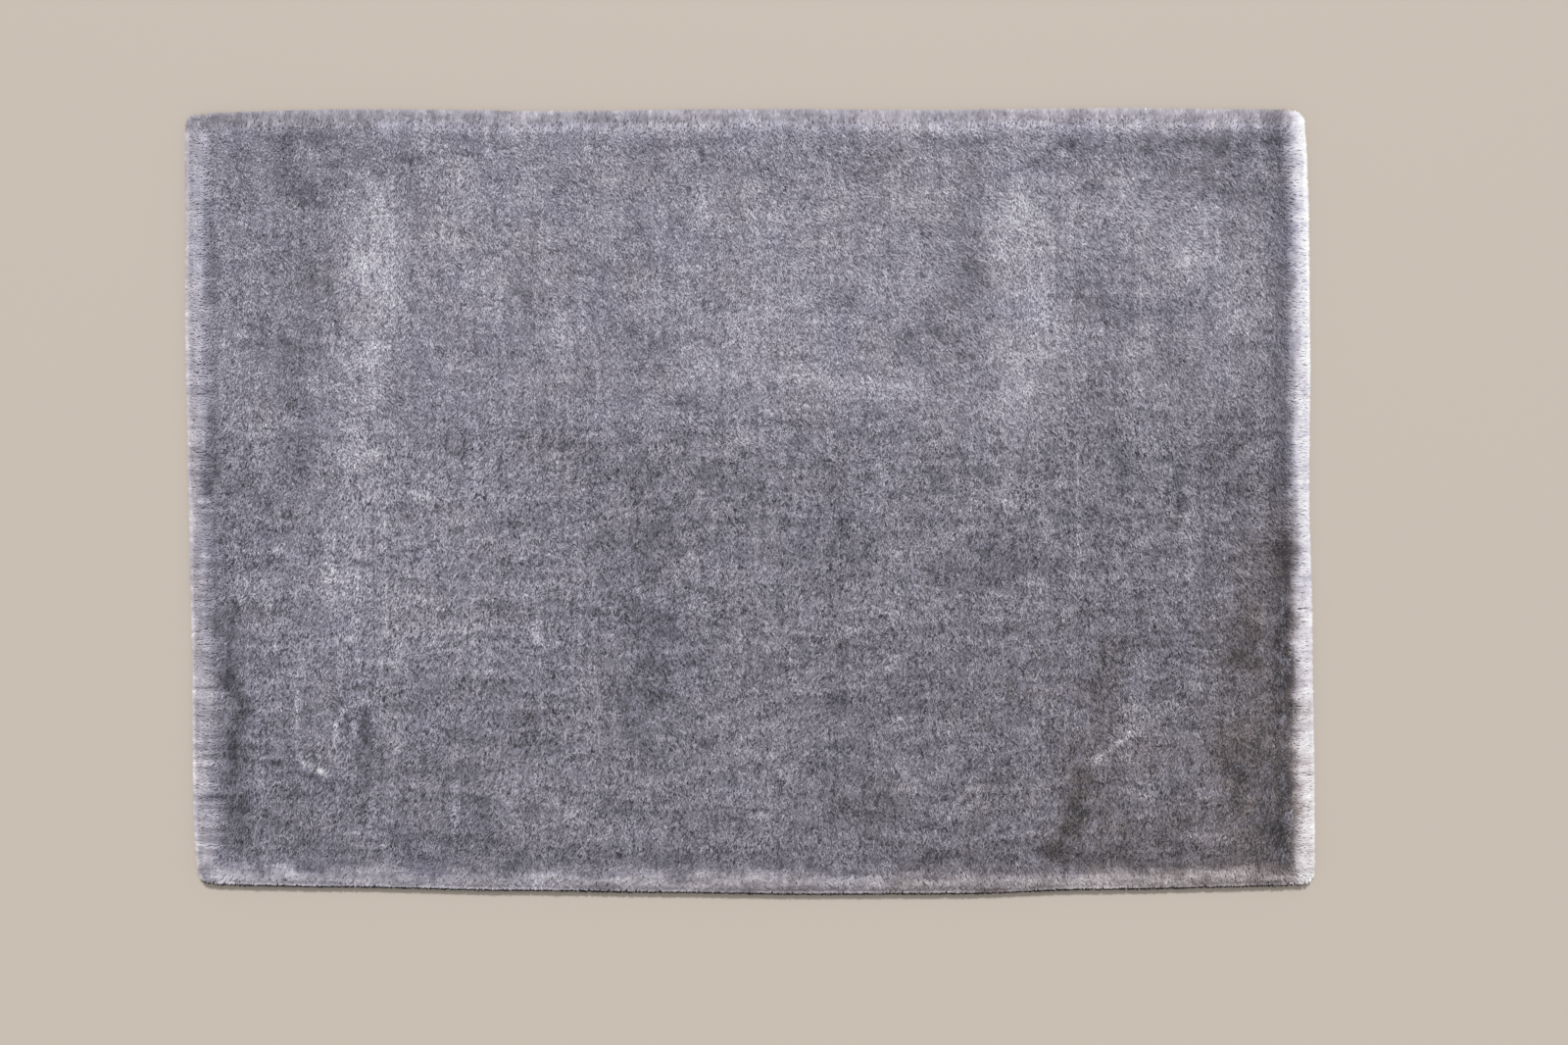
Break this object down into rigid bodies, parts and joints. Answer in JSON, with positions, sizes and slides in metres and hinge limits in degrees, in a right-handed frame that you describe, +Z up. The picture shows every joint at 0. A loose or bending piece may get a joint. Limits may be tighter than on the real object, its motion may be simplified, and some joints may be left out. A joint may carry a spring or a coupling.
{
  "type": "shag rug",
  "caption": "Rectangular shag rug: one piece of deep plush pile cloth lying flat, with splayed pale pile round its uneven edges.",
  "frame": {"origin": "centre of the flat underside, at the middle of the rug's box", "axes": "+X along the rug's long side, +Y towards its back edge, +Z up out of the face it lies on"},
  "size_m": [2.3176, 1.61, 0.028],
  "materials": {
    "plush_pile": "deep matte plush pile, slate-lilac tips over pale roots, near white where it splays over the edges"
  },
  "bodies": {
    "root": {"pile_cloth": "plush_pile"}
  },
  "joints": []
}
